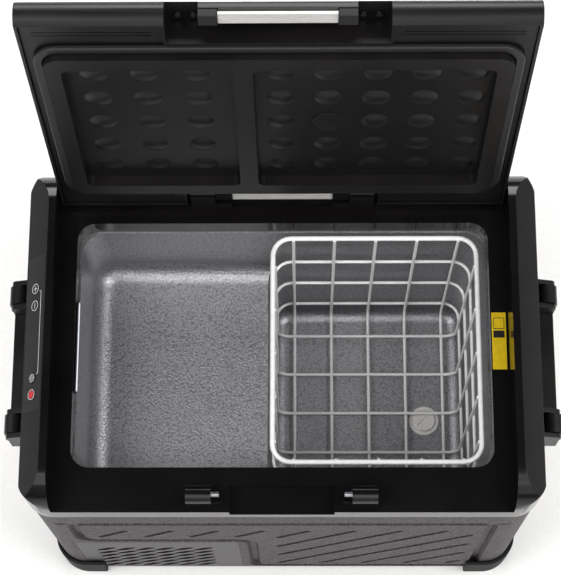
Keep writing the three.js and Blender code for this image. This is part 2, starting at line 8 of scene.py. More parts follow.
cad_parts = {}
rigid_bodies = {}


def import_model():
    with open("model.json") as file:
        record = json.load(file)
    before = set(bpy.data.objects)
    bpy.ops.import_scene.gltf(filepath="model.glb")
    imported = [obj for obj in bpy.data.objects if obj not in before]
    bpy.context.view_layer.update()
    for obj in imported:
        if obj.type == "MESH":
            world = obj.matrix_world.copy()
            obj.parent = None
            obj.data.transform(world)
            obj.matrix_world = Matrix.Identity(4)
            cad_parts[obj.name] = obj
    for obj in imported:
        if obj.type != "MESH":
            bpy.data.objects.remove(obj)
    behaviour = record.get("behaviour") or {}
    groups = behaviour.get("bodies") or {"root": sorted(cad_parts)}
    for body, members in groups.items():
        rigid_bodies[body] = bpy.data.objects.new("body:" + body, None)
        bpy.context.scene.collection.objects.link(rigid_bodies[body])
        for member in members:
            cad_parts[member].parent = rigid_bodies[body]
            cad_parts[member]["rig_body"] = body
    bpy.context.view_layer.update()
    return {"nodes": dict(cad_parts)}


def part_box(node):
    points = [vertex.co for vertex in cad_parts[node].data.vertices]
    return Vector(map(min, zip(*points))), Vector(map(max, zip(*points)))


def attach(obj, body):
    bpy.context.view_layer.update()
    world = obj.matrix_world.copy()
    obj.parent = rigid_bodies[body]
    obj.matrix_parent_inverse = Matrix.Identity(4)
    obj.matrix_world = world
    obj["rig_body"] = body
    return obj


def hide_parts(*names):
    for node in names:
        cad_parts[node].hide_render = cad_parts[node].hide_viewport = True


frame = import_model()

# Camera: stands in front of the fridge, well above it, and looks down into the open cabinet.
camera_data = bpy.data.cameras.new("camera")
camera_data.lens = 109.56
camera_data.shift_y = 0.1435
camera = bpy.data.objects.new("camera", camera_data)
bpy.context.scene.collection.objects.link(camera)
bpy.context.scene.camera = camera
tilt, turn, lean = (math.radians(angle) for angle in (74.088, -0.75, -0.074))
level = Matrix(((1, 0, 0), (0, -math.sin(tilt), -math.cos(tilt)), (0, math.cos(tilt), -math.sin(tilt))))
turned = Matrix(((math.cos(turn), 0, -math.sin(turn)), (0, 1, 0), (math.sin(turn), 0, math.cos(turn))))
leaning = Matrix(((math.cos(lean), -math.sin(lean), 0), (math.sin(lean), math.cos(lean), 0), (0, 0, 1)))
right, down, forward = leaning @ turned @ level
stand = Matrix.Translation((0.02279, -0.54596, 2.15839))
camera.matrix_world = stand @ Matrix((right, -down, -forward)).transposed().to_4x4()


# Studio floor: one sweep of pale matt paper, which scatters all light and has a faint tooth.
def linear(colour):
    """An sRGB hex colour as the linear colour that a shader takes."""
    parts = [int(colour[i:i + 2], 16) / 255 for i in (1, 3, 5)]
    return [p / 12.92 if p <= 0.04045 else ((p + 0.055) / 1.055) ** 2.4 for p in parts] + [1]


def add(tree, kind, inputs=(), **settings):
    """A shader node: settings are its own fields, inputs are values or the sockets that feed it."""
    node = tree.nodes.new("ShaderNode" + kind)
    for field, value in settings.items():
        setattr(node, field, value)
    for name, value in dict(inputs).items():
        if isinstance(value, bpy.types.NodeSocket):
            tree.links.new(value, node.inputs[name])
        else:
            node.inputs[name].default_value = value
    return node


def new_finish(name, **sockets):
    """A material with the shader's own sockets set: its node tree, its shader and Object coordinates."""
    material = bpy.data.materials.new(name)
    material.use_nodes = True
    tree = material.node_tree
    shader = tree.nodes["Principled BSDF"]
    for socket, value in sockets.items():
        shader.inputs[socket.replace("_", " ")].default_value = value
    where = add(tree, "TexCoord").outputs["Object"]
    return material, tree, shader, where


def between(tree, factor, low, high, low_at=0.3, high_at=0.7):
    """A colour that runs from low to high as factor does."""
    ramp = add(tree, "ValToRGB", {"Fac": factor})
    ends = ramp.color_ramp.elements
    ends[0].position, ends[1].position = low_at, high_at
    ends[0].color, ends[1].color = low, high
    return ramp.outputs["Color"]


PAPER_TOOTH = 0.004
PAPER_HALF = 8
PAPER_DROP = 0.0006
paper, tree, shader, where = new_finish("matt_paper", Roughness=0.9)
tooth = add(tree, "TexNoise", {"Vector": where, "Scale": 1 / PAPER_TOOTH, "Detail": 2}).outputs["Fac"]
tree.links.new(between(tree, tooth, linear("#f6f5f3"), linear("#fbfaf9")), shader.inputs["Base Color"])
bm = bmesh.new()
bmesh.ops.create_grid(bm, x_segments=4, y_segments=4, size=PAPER_HALF)
bmesh.ops.translate(bm, verts=bm.verts, vec=(0, 0, -PAPER_DROP))
floor_mesh = bpy.data.meshes.new("studio_floor")
bm.to_mesh(floor_mesh)
bm.free()
floor = bpy.data.objects.new("studio_floor", floor_mesh)
floor_mesh.materials.append(paper)
bpy.context.scene.collection.objects.link(floor)

# Studio light: two soft boxes above, to the left and the right, reach down into the open tub.
# The room is dim, and five weaker boxes round the sides draw the edges. The backdrop itself is pale.
DIM_LOW, DIM_HIGH, PALE = (0.12, 0.12, 0.12, 1), (0.07, 0.07, 0.072, 1), (0.86, 0.86, 0.86, 1)
AIMED_AT = Vector((0, 0, 0.3))
bpy.context.scene.view_settings.view_transform = "Standard"
world = bpy.data.worlds.new("studio")
bpy.context.scene.world = world
world.use_nodes = True
tree = world.node_tree
height = add(tree, "SeparateXYZ", {"Vector": add(tree, "TexCoord").outputs["Generated"]}).outputs["Z"]
sky = between(tree, height, DIM_LOW, DIM_HIGH, 0.1, 0.6)
seen = add(tree, "LightPath").outputs["Is Camera Ray"]
backdrop = add(tree, "Mix", {0: seen, 6: sky, 7: PALE}, data_type="RGBA").outputs[2]
tree.links.new(backdrop, tree.nodes["Background"].inputs["Color"])
SOFT_BOXES = [
    ("overhead_left_box", (-1.6, -0.6, 2.8), 1.5, 44),
    ("overhead_right_box", (1.6, -0.6, 2.8), 1.5, 44),
    ("front_box", (0.3, -2.4, 1.5), 1.8, 10),
    ("left_box", (-2.3, -0.2, 1.7), 1.6, 7),
    ("right_box", (2.3, 0.1, 1.7), 1.6, 9),
    ("back_box", (0, 2.4, 1.9), 1.6, 60),
    ("upper_front_box", (-0.25, -2.0, 3.0), 2.0, 26),
]
for name, place, size, watts in SOFT_BOXES:
    light = bpy.data.lights.new(name, "AREA")
    light.shape = "SQUARE"
    light.size = size
    light.energy = watts
    lamp = bpy.data.objects.new(name, light)
    lamp.location = place
    lamp.rotation_euler = (AIMED_AT - Vector(place)).to_track_quat("-Z", "Y").to_euler()
    bpy.context.scene.collection.objects.link(lamp)


# Base pan: the moulded tray of dark-grey polypropylene that closes the casing underneath.
# It carries the compressor bay and the drain boss.
MM = 0.001
MERGE = 1e-5


def merged(node, unmove=None):
    """A CAD node's mesh with its triangles merged into whole faces, ready for finer work."""
    bm = bmesh.new()
    bm.from_mesh(frame["nodes"][node].data)
    bmesh.ops.remove_doubles(bm, verts=bm.verts, dist=MERGE)
    bmesh.ops.dissolve_limit(bm, angle_limit=math.radians(0.4), verts=bm.verts, edges=bm.edges)
    if unmove:
        bm.transform(unmove)
    return bm


def make_piece(bm, name, material, body, slot, stands_for=(), edge=0, steps=2, sharp=35, share=None):
    """A finished piece: smooth faces, edges rounded to edge metres, its material and body.
    share takes the middle of an edge and gives how much of that rounding it gets. slot is not used."""
    mesh = bpy.data.meshes.new(name)
    bm.normal_update()
    for face in bm.faces:
        face.smooth = True
    weight = bm.edges.layers.float.new("bevel_weight_edge")
    for line in bm.edges if edge else []:
        if line.is_manifold and line.calc_face_angle() > math.radians(sharp):
            line[weight] = share((line.verts[0].co + line.verts[1].co) / 2) if share else 1
    bm.to_mesh(mesh)
    bm.free()
    mesh.materials.append(material)
    obj = bpy.data.objects.new(name, mesh)
    bpy.context.scene.collection.objects.link(obj)
    if edge:
        rounding = obj.modifiers.new("rounded_edges", "BEVEL")
        rounding.width = edge
        rounding.segments = steps
        rounding.limit_method = "WEIGHT"
    else:
        mesh.set_sharp_from_angle(angle=math.radians(sharp))
    evened = obj.modifiers.new("even_shading", "WEIGHTED_NORMAL")
    evened.keep_sharp = True
    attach(obj, body)
    if stands_for:
        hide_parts(*stands_for)
    return obj


def recast(node, name, material, slot, edge=0.6 * MM, **more):
    """A CAD node made again with rounded edges."""
    body = frame["nodes"][node]["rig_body"]
    return make_piece(merged(node), name, material, body, slot, [node], edge, **more)


# Grained polypropylene, injection moulded in a leather-grain tool: a matt dark grey whose pebbles,
# about 3 mm across, catch light on their crowns.
GRAIN = 3.2 * MM
grained_polypropylene, tree, shader, where = new_finish("grained_polypropylene", Roughness=0.55,
                                                        Specular_IOR_Level=0.3)
loose = add(tree, "TexNoise", {"Vector": where, "Scale": 0.5 / GRAIN, "Detail": 2}).outputs["Color"]
wander = add(tree, "Mix", {0: 0.0016, 6: where, 7: loose}, data_type="RGBA", blend_type="ADD").outputs[2]
pebbles = add(tree, "TexVoronoi", {"Vector": wander, "Scale": 1 / GRAIN}, feature="SMOOTH_F1")
pebble = pebbles.outputs["Distance"]
fleck = add(tree, "TexNoise", {"Vector": where, "Scale": 1.4 / GRAIN, "Detail": 3}).outputs["Fac"]
speckle = between(tree, fleck, linear("#1d1a1b"), linear("#554e50"), 0.36, 0.64)
tree.links.new(speckle, shader.inputs["Base Color"])
bump = add(tree, "Bump", {"Height": pebble, "Strength": 1, "Distance": 1.1 * MM}, invert=True)
tree.links.new(bump.outputs["Normal"], shader.inputs["Normal"])
recast("base_pan", "base_pan_tray", grained_polypropylene, "grained_grey_abs", 1 * MM)

# Corner feet: thick black bumpers of soft-touch plastic that wrap the bottom corners and stand proud.
# Rubbery and nearly matt, with a fine tooth.
TOOTH = 0.9 * MM
bumper_rubber, tree, shader, where = new_finish("bumper_rubber", Roughness=0.65, Specular_IOR_Level=0.25)
tooth = add(tree, "TexNoise", {"Vector": where, "Scale": 1 / TOOTH, "Detail": 3}).outputs["Fac"]
tree.links.new(between(tree, tooth, linear("#0d0c0c"), linear("#161515")), shader.inputs["Base Color"])
bump = add(tree, "Bump", {"Height": tooth, "Strength": 0.3, "Distance": 0.15 * MM})
tree.links.new(bump.outputs["Normal"], shader.inputs["Normal"])
for end in ("front", "rear"):
    for side in ("left", "right"):
        recast(f"foot_{end}_{side}", f"bumper_{end}_{side}", bumper_rubber, "rubber", 1.8 * MM, steps=3)


# Machine bay: the compressor stands on a rubber-footed plate, with its condenser, fan and board, all seen
# only through the vents. Behind the walls is foamed polyurethane, which stops short of the casing's channels.
def speckled(name, low, high, grain, depth=0.1 * MM, strength=0.2, **sockets):
    """A plain finish whose colour and surface vary a little over grain metres."""
    material, tree, shader, where = new_finish(name, **sockets)
    noise = add(tree, "TexNoise", {"Vector": where, "Scale": 1 / grain, "Detail": 3}).outputs["Fac"]
    tree.links.new(between(tree, noise, linear(low), linear(high)), shader.inputs["Base Color"])
    bump = add(tree, "Bump", {"Height": noise, "Strength": strength, "Distance": depth})
    tree.links.new(bump.outputs["Normal"], shader.inputs["Normal"])
    return material


black_enamel = speckled("baked_black_enamel", "#0c0d0e", "#17181a", 6 * MM, Roughness=0.22, IOR=1.52)
copper_tube = speckled("drawn_copper_tube", "#a5623a", "#c07a4c", 9 * MM, Metallic=1, Roughness=0.33)
solder_resist = speckled("green_solder_resist", "#0f3d22", "#175a33", 4 * MM, Roughness=0.4, IOR=1.5)
fan_plastic = speckled("moulded_fan_plastic", "#161517", "#232123", 2 * MM, Roughness=0.45, IOR=1.5)
urethane_foam = speckled("foamed_polyurethane", "#d6cba0", "#eadfba", 3 * MM, 0.6 * MM, 0.6, Roughness=0.92)
recast("compressor_mount", "compressor_plate", bumper_rubber, "rubber")
recast("compressor", "compressor_shell", black_enamel, "black_enamel", 1.5 * MM, sharp=50)
recast("condenser_coil", "condenser_tube", copper_tube, "copper", 2.2 * MM, steps=3)
recast("fan_shroud", "fan_frame", fan_plastic, "satin_black_abs", 0.7 * MM)
recast("fan_rotor", "fan_blades", fan_plastic, "satin_black_abs", 0.4 * MM)
recast("control_board", "power_board", solder_resist, "circuit_board", 0.3 * MM)
FOAM_INSET = 9.5 * MM
foam = merged("foam_insulation")
foam_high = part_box("foam_insulation")[1]
for v in foam.verts:
    v.co.x = max(-foam_high.x + FOAM_INSET, min(foam_high.x - FOAM_INSET, v.co.x))
    v.co.y = max(-foam_high.y + FOAM_INSET, min(foam_high.y - FOAM_INSET, v.co.y))
bmesh.ops.remove_doubles(foam, verts=foam.verts, dist=MERGE)
make_piece(foam, "cabinet_foam", urethane_foam, "root", "foam", ["foam_insulation"])


# Lower casing: the grained outer shell, injection moulded. On each face a wide channel frames a panel
# that slanting grooves cross. The front and back panels step round the vent in the lower left.
def block(bm, x, y, z):
    """A block between the limits x, y and z, added to bm."""
    low, high = zip(x, y, z)
    middle = [(a + b) / 2 for a, b in zip(low, high)]
    size = [b - a for a, b in zip(low, high)]
    matrix = Matrix.Translation(middle) @ Matrix.Diagonal([*size, 1])
    return bmesh.ops.create_cube(bm, size=1, matrix=matrix)["verts"]


def prism(bm, outline, depth):
    """The closed outline pushed along depth, added to bm as a solid."""
    face = bm.faces.new([bm.verts.new(point) for point in outline])
    pushed = bmesh.ops.extrude_face_region(bm, geom=[face])["geom"]
    verts = [item for item in pushed if isinstance(item, bmesh.types.BMVert)]
    bmesh.ops.translate(bm, verts=verts, vec=depth)
    bmesh.ops.recalc_face_normals(bm, faces=list({f for v in verts for f in v.link_faces} | {face}))
    return verts


def carve(bm, cutter, operation="DIFFERENCE"):
    """bm cut by the closed shapes in cutter, or joined with them."""
    blanks = []
    for shape in (bm, cutter):
        mesh = bpy.data.meshes.new("blank")
        shape.to_mesh(mesh)
        shape.free()
        blanks.append(bpy.data.objects.new("blank", mesh))
        bpy.context.scene.collection.objects.link(blanks[-1])
    cut = blanks[0].modifiers.new("cut", "BOOLEAN")
    cut.object = blanks[1]
    cut.operation = operation
    cut.solver = "EXACT"
    worked_out = bpy.context.evaluated_depsgraph_get()
    result = bpy.data.meshes.new_from_object(blanks[0].evaluated_get(worked_out))
    made = bmesh.new()
    made.from_mesh(result)
    bmesh.ops.remove_doubles(made, verts=made.verts, dist=MERGE / 5)
    bmesh.ops.dissolve_limit(made, angle_limit=math.radians(0.3), verts=made.verts, edges=made.edges)
    for blank in blanks:
        bpy.data.objects.remove(blank)
    return made


def rounded(corners, radius, steps=5):
    """A closed outline of flat points with each corner rounded to its radius."""
    outline = []
    for i, (corner, r) in enumerate(zip(corners, radius)):
        here, before, after = (Vector(corners[j % len(corners)]) for j in (i, i - 1, i + 1))
        back, on = (before - here).normalized(), (after - here).normalized()
        half = back.angle(on) / 2
        reach = r / math.tan(half)
        centre = here + (back + on).normalized() * (r / math.sin(half))
        start, end = here + back * reach - centre, here + on * reach - centre
        outline += [centre + start.slerp(end, k / steps) * r for k in range(steps + 1)]
    return outline


casing_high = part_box("lower_casing")[1]
FACE_Y = casing_high.y
FACE_X = casing_high.x
CLEAR = 1 * MM
CHANNEL_DEEP = 5.6 * MM
CHANNEL_TOP, CHANNEL_FLOOR = 7 * MM, 3.2 * MM
GROOVE_DEEP = 4.2 * MM
GROOVE_HALF = 3.4 * MM
GROOVE_PITCH = 51 * MM
GROOVE_SLOPE = 1.09
GROOVE_START = -208 * MM
SHORT_GROOVES = 4


def grown(outline, by):
    """A closed outline of flat points, clockwise or not, moved outwards by by."""
    area = sum(a[0] * b[1] - a[1] * b[0] for a, b in zip(outline, outline[1:] + outline[:1]))
    moved = []
    for i, here in enumerate(outline):
        before, after = Vector(outline[i - 1]), Vector(outline[(i + 1) % len(outline)])
        along = (after - before).normalized()
        moved.append(Vector(here) + Vector((along.y, -along.x)) * math.copysign(1, area) * by)
    return moved


def framed_panel(channels, cuts, outline, grooves, plane, out):
    """Cutters for one face: the channel along its outline, and the grooves.
    plane is 'x' or 'y', the axis that the face looks along, and out is its sign."""
    face = (FACE_X if plane == "x" else FACE_Y) * out
    depth = Vector((out, 0, 0)) if plane == "x" else Vector((0, out, 0))

    def at(points, sink):
        level = face - out * sink
        return [(level, a, z) if plane == "x" else (a, level, z) for a, z in points]

    section = [(CHANNEL_TOP, -CLEAR), (CHANNEL_FLOOR, CHANNEL_DEEP), (-CHANNEL_FLOOR, CHANNEL_DEEP),
               (-CHANNEL_TOP, -CLEAR)]
    loops = [[channels.verts.new(spot) for spot in at(grown(outline, by), sink)] for by, sink in section]
    made = []
    for here, beside in zip(loops, loops[1:] + loops[:1]):
        for k, (a, b) in enumerate(zip(here, beside)):
            made.append(channels.faces.new((here[k - 1], a, b, beside[k - 1])))
    channels.normal_update()
    bmesh.ops.recalc_face_normals(channels, faces=made)
    for start, end in grooves:
        (a0, z0), (a1, z1) = start, end
        along = Vector((a1 - a0, z1 - z0)).normalized()
        wide = Vector((-along.y, along.x)) * GROOVE_HALF
        ends = [Vector(start) - wide, Vector(end) - wide, Vector(end) + wide, Vector(start) + wide]
        around = rounded([tuple(c) for c in ends], [GROOVE_HALF * 0.85] * 4, 3)
        prism(cuts, at(around, GROOVE_DEEP), depth * (GROOVE_DEEP + CLEAR))


PANEL_TOP = 283 * MM
PANEL_LEFT, PANEL_RIGHT = -230 * MM, 229 * MM
PANEL_FOOT = 21 * MM
BAND_LOW = 187 * MM
STEP_LEFT = -36 * MM
end_outline = rounded(
    [(PANEL_LEFT, PANEL_TOP), (PANEL_LEFT, BAND_LOW), (STEP_LEFT, BAND_LOW), (STEP_LEFT, PANEL_FOOT),
     (PANEL_RIGHT, PANEL_FOOT), (PANEL_RIGHT, PANEL_TOP)],
    [14 * MM, 22 * MM, 20 * MM, 11 * MM, 11 * MM, 12 * MM])
GROOVE_TOP, GROOVE_FOOT = 245 * MM, 36 * MM
GROOVE_BEND = 208 * MM
GROOVE_LEFT, GROOVE_RIGHT = -8 * MM, 212 * MM
end_grooves = []
for k in range(12):
    x = GROOVE_START + k * GROOVE_PITCH
    x_high = min(x + (GROOVE_TOP - GROOVE_BEND) / GROOVE_SLOPE, GROOVE_RIGHT)
    x_low = x if k < SHORT_GROOVES else max(GROOVE_LEFT, x - (GROOVE_BEND - GROOVE_FOOT) / GROOVE_SLOPE)
    end_grooves.append([(a, GROOVE_BEND + (a - x) * GROOVE_SLOPE) for a in (x_low, x_high)])
channels = bmesh.new()
cuts = bmesh.new()
NOTCH_DEEP = 2.4 * MM
NOTCH = [(231, 285), (236, 288.5), (245, 288.5), (250, 285), (245, 282.5), (236, 282.5)]
for out in (-1, 1):
    framed_panel(channels, cuts, end_outline, end_grooves, "y", out)
    for side in (-1, 1):
        notch = [(side * x * MM, out * (FACE_Y - NOTCH_DEEP), z * MM) for x, z in NOTCH]
        prism(cuts, notch, (0, out * 8 * MM, 0))
SIDE_HALF = 142 * MM
SIDE_TOP, SIDE_FOOT = 212 * MM, 92 * MM
side_outline = rounded(
    [(-SIDE_HALF, SIDE_FOOT), (SIDE_HALF, SIDE_FOOT), (SIDE_HALF, SIDE_TOP), (-SIDE_HALF, SIDE_TOP)],
    [14 * MM] * 4)
side_grooves = []
SIDE_MARGIN = 20 * MM
rise = SIDE_TOP - SIDE_FOOT - 2 * SIDE_MARGIN
for k in range(5):
    start = (-118 * MM + k * 48 * MM, SIDE_FOOT + SIDE_MARGIN)
    side_grooves.append((start, (start[0] + rise / GROOVE_SLOPE * 0.55, start[1] + rise * 0.55)))
for out in (-1, 1):
    framed_panel(channels, cuts, side_outline, side_grooves, "x", out)
backing = bmesh.new()
BACKING_FROM, BACKING_TO = 3.5 * MM, 9 * MM
BACKING_STEP = [(-244, 178), (-48, 178), (-48, 16), (244, 16), (244, 300), (-244, 300)]
BACKING_MARGIN = 12 * MM
for out in (-1, 1):
    back = [(x * MM, out * (FACE_Y - BACKING_FROM), z * MM) for x, z in BACKING_STEP]
    prism(backing, back, (0, out * (BACKING_FROM - BACKING_TO), 0))
    across = sorted((out * (FACE_X - BACKING_FROM), out * (FACE_X - BACKING_TO)))
    block(backing, across, (-SIDE_HALF - 13 * MM, SIDE_HALF + 13 * MM),
          (SIDE_FOOT - BACKING_MARGIN, SIDE_TOP + BACKING_MARGIN))
SEAM = 1.3 * MM
SEAM_DEEP = 1.8 * MM
seam, inside = bmesh.new(), bmesh.new()
block(seam, (-0.3, 0.3), (-0.2, 0.2), (casing_high.z - SEAM, casing_high.z + CLEAR))
x, y = FACE_X - SEAM_DEEP, FACE_Y - SEAM_DEEP
kept = rounded([(-x, -y), (x, -y), (x, y), (-x, y)], [30 * MM] * 4, 8)
prism(inside, [(a, b, casing_high.z - 5 * MM) for a, b in kept], (0, 0, 10 * MM))
casing = carve(merged("lower_casing"), backing, "UNION")
casing = carve(carve(casing, channels), carve(seam, inside))
make_piece(carve(casing, cuts), "outer_casing", grained_polypropylene, "root",
           "grained_grey_abs", ["lower_casing"], 0.9 * MM, steps=2, sharp=40)

# Vent grilles: smooth moulded plates set flush in the casing, front and back, with six rows of slanting
# slots that overlap like weave. Plain ABS with a light satin.
SLOT_PITCH = 22.6 * MM
ROW_PITCH = 20.5 * MM
FIRST_SLOT = (-208 * MM, 30 * MM)
SLOT = [(-11.3, -10.5), (-2, -8.2), (11.3, 4.6), (11.3, 9.4), (2, 7.6), (-11.3, -5)]
vent_abs = speckled("satin_grey_abs", "#262223", "#2f2a2c", 1.2 * MM, 0.05 * MM, 0.15, Roughness=0.4,
                    Specular_IOR_Level=0.34)
for end in ("front", "rear"):
    low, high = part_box(f"{end}_vent_grille")
    slots = bmesh.new()
    for row in range(6):
        for column in range(6):
            x = FIRST_SLOT[0] + column * SLOT_PITCH
            z = FIRST_SLOT[1] + row * ROW_PITCH
            outline = [(x + a * MM, low.y - 2 * MM, z + b * MM) for a, b in SLOT]
            prism(slots, outline, (0, 7 * MM, 0))
    plate = bmesh.new()
    block(plate, (low.x, high.x), (low.y, high.y), (low.z, high.z))
    make_piece(carve(plate, slots), f"{end}_vent_plate", vent_abs, "root", "satin_black_abs",
               [f"{end}_vent_grille"], 0.5 * MM)


# Power sockets: two recessed moulded inlets low on the left side, for mains and for a vehicle lead,
# each with its round pins.
def spin_up(bm, profile, place, steps=32):
    """A turned solid, added to bm: profile is (radius, height) points from axis to axis."""
    old = set(bm.verts)
    verts = [bm.verts.new((radius, 0, height)) for radius, height in profile]
    edges = [bm.edges.new(pair) for pair in zip(verts, verts[1:])]
    bmesh.ops.spin(bm, geom=verts + edges, cent=(0, 0, 0), axis=(0, 0, 1), angle=2 * math.pi, steps=steps,
                   use_merge=True)
    bmesh.ops.remove_doubles(bm, verts=[v for v in bm.verts if v not in old], dist=MERGE / 5)
    new = [v for v in bm.verts if v not in old]
    bmesh.ops.recalc_face_normals(bm, faces=list({f for v in new for f in v.link_faces}))
    bmesh.ops.transform(bm, verts=new, matrix=place)
    return new


pin_steel = speckled("nickel_plated_steel", "#8f9194", "#b2b4b7", 5 * MM, 0.02 * MM, 0.1, Metallic=1,
                     Roughness=0.28)
recast("mains_inlet", "mains_socket", fan_plastic, "black_enamel", 0.8 * MM)
recast("dc_inlet", "vehicle_socket", fan_plastic, "black_enamel", 0.8 * MM)
PIN_SPOTS = [("mains_inlet", (-7, 0), 1.6), ("mains_inlet", (7, 0), 1.6), ("dc_inlet", (-3.4, 0), 1.2),
             ("dc_inlet", (3.4, 0), 1.2)]
pins = bmesh.new()
for node, (across, up), radius in PIN_SPOTS:
    low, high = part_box(node)
    middle = (low + high) / 2
    place = Matrix.Translation((high.x - 9 * MM, middle.y + across * MM, middle.z + up * MM))
    place @= Matrix.Rotation(math.radians(-90), 4, "Y")
    tip = [(0, 0), (radius, 0), (radius, 8), (radius * 0.7, 9), (0, 9)]
    spin_up(pins, [(r * MM, h * MM) for r, h in tip], place, 16)
make_piece(pins, "socket_pins", pin_steel, "root", "steel")

# Liner: a stepped tub pressed from stucco-embossed aluminium, shallow on the left and deep on the right.
# The embossing is an orange-peel relief, 2 mm from crest to crest, that breaks up every reflection.
STUCCO = 2 * MM
stucco_aluminium, tree, shader, where = new_finish("stucco_embossed_aluminium", Metallic=1)
drift = add(tree, "TexNoise", {"Vector": where, "Scale": 0.6 / STUCCO, "Detail": 1}).outputs["Color"]
wander = add(tree, "Mix", {0: 0.0022, 6: where, 7: drift}, data_type="RGBA", blend_type="ADD").outputs[2]
crest = {"Vector": wander, "Scale": 1 / STUCCO, "Smoothness": 0.7}
relief = add(tree, "TexVoronoi", crest, feature="SMOOTH_F1").outputs["Distance"]
haze = add(tree, "TexNoise", {"Vector": where, "Scale": 1 / 0.03, "Detail": 2}).outputs["Fac"]
# Painted shade: the sheet's colour follows the relief, darker in its valleys and lighter on its crests.
sheet_painted_valley_shade = between(tree, relief, linear("#b4b4b6"), linear("#8c8c8f"), 0.2, 0.8)
tree.links.new(sheet_painted_valley_shade, shader.inputs["Base Color"])
rough = add(tree, "MapRange", {"Value": haze, "To Min": 0.4, "To Max": 0.5}).outputs["Result"]
tree.links.new(rough, shader.inputs["Roughness"])
bump = add(tree, "Bump", {"Height": relief, "Strength": 1, "Distance": 0.3 * MM}, invert=True)
tree.links.new(bump.outputs["Normal"], shader.inputs["Normal"])
LINER_SHEET = 1.6 * MM
LINER_TAPER = 4 * MM
SHALLOW_FLOOR, DEEP_FLOOR = 219 * MM, 53 * MM
DEEP_LEFT = -20 * MM
liner_low, liner_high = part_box("liner")


def tub(bm, x, floor_z, corner, fillet):
    """A tub-shaped solid with a tapered wall and a rounded bottom, added to bm."""
    y = liner_high.y - LINER_SHEET
    corners = [(x[0], -y), (x[1], -y), (x[1], y), (x[0], y)]
    top = [(a, b, liner_high.z + 2 * MM) for a, b in rounded(corners, [corner] * 4, 8)]
    old = set(bm.verts)
    prism(bm, top, (0, 0, floor_z - liner_high.z - 2 * MM))
    low = [v for v in bm.verts if v not in old and v.co.z < floor_z + MERGE]
    middle = (x[0] + x[1]) / 2
    for v in low:
        v.co.x += LINER_TAPER * (middle - v.co.x) / ((x[1] - x[0]) / 2)
        v.co.y -= LINER_TAPER * v.co.y / y
    rim = [e for e in bm.edges if e.verts[0] in low and e.verts[1] in low]
    bmesh.ops.bevel(bm, geom=rim, offset=fillet, offset_type="OFFSET", segments=6, profile=0.5,
                    affect="EDGES", material=-1)


wide = (liner_low.x + LINER_SHEET, liner_high.x - LINER_SHEET)
shallow, deep, drain_hole = bmesh.new(), bmesh.new(), bmesh.new()
tub(shallow, wide, SHALLOW_FLOOR, 26 * MM, 22 * MM)
tub(deep, (DEEP_LEFT, wide[1]), DEEP_FLOOR, 22 * MM, 17 * MM)
hollow = carve(shallow, deep, "UNION")
level = [e for e in hollow.edges if all(abs(v.co.z - SHALLOW_FLOOR) < 0.1 * MM for v in e.verts)]
brow = [e for e in level if not e.is_convex]
bmesh.ops.bevel(hollow, geom=brow, offset=3.5 * MM, offset_type="OFFSET", segments=3, profile=0.5,
                affect="EDGES", material=-1)
skin = bmesh.new()
liner_y = (liner_low.y, liner_high.y)
block(skin, (liner_low.x, liner_high.x), liner_y, (SHALLOW_FLOOR - LINER_SHEET, liner_high.z))
deep_skin = bmesh.new()
block(deep_skin, (DEEP_LEFT - LINER_SHEET, liner_high.x), liner_y, (liner_low.z, 300 * MM))
drain_low, drain_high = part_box("drain_fitting")
drain_middle = (drain_low + drain_high) / 2
DRAIN_R = 12.3 * MM
spin_up(drain_hole, [(0, -0.1), (DRAIN_R, -0.1), (DRAIN_R, 0.1), (0, 0.1)],
        Matrix.Translation((drain_middle.x, drain_middle.y, liner_low.z)))
liner = carve(carve(carve(skin, deep_skin, "UNION"), hollow), drain_hole)
make_piece(liner, "pressed_liner", stucco_aluminium, "root", "embossed_aluminium", ["liner"], 0)
plain_aluminium = speckled("rolled_aluminium_plate", "#b9babc", "#cfd0d2", 8 * MM, Metallic=1,
                           Roughness=0.35)
recast("evaporator_plate", "cooling_plate", plain_aluminium, "plain_aluminium")
white_nylon = speckled("white_plug_nylon", "#dedad7", "#efece9", 3 * MM, Roughness=0.35)
recast("drain_fitting", "drain_ring", white_nylon, "plain_aluminium", 0.8 * MM)
recast("drain_plug", "drain_plug_cap", white_nylon, "plain_aluminium", 0.7 * MM)

# Upper frame: one gloss ABS moulding with the rim, the two end caps, the posts for the pins and the
# finger recesses. The black ABS here and on the lid has an uneven shine and a very fine spark texture.
def moulded_black(name, low, high, gloss, satin, shine=0.5, spark=0.8 * MM):
    """Black ABS: colour and shine drift with the flow of the plastic, over a very fine spark texture."""
    material, tree, shader, where = new_finish(name, IOR=1.46, Specular_IOR_Level=shine)
    flow = add(tree, "TexNoise", {"Vector": where, "Scale": 1 / 0.07, "Detail": 3}).outputs["Fac"]
    tree.links.new(between(tree, flow, linear(low), linear(high)), shader.inputs["Base Color"])
    rough = add(tree, "MapRange", {"Value": flow, "To Min": gloss, "To Max": satin}).outputs["Result"]
    tree.links.new(rough, shader.inputs["Roughness"])
    grain = add(tree, "TexNoise", {"Vector": where, "Scale": 1 / spark, "Detail": 2}).outputs["Fac"]
    bump = add(tree, "Bump", {"Height": grain, "Strength": 0.12, "Distance": 0.06 * MM})
    tree.links.new(bump.outputs["Normal"], shader.inputs["Normal"])
    return material


gloss_abs = moulded_black("gloss_black_abs", "#0b090a", "#110f10", 0.12, 0.2, 0.4)
satin_abs = moulded_black("satin_black_abs", "#0e0c0d", "#151213", 0.33, 0.42, 0.36)


def frame_share(spot):
    """Rounding of the frame's edges: full on the caps, a little at the key recess, some elsewhere."""
    if spot.x < -0.245 and abs(spot.y) < 0.0885 and spot.z > 0.36:
        return 0.08
    return 1 if spot.z > 0.352 and abs(spot.x) > 0.24 else 0.4


recast("upper_frame", "frame_moulding", gloss_abs, "satin_black_abs", 3 * MM, steps=4, share=frame_share)
for end in ("front", "rear"):
    for side in ("left", "right"):
        recast(f"{end}_pin_{side}", f"{end}_{side}_hinge_pin", pin_steel, "steel", 0.5 * MM)

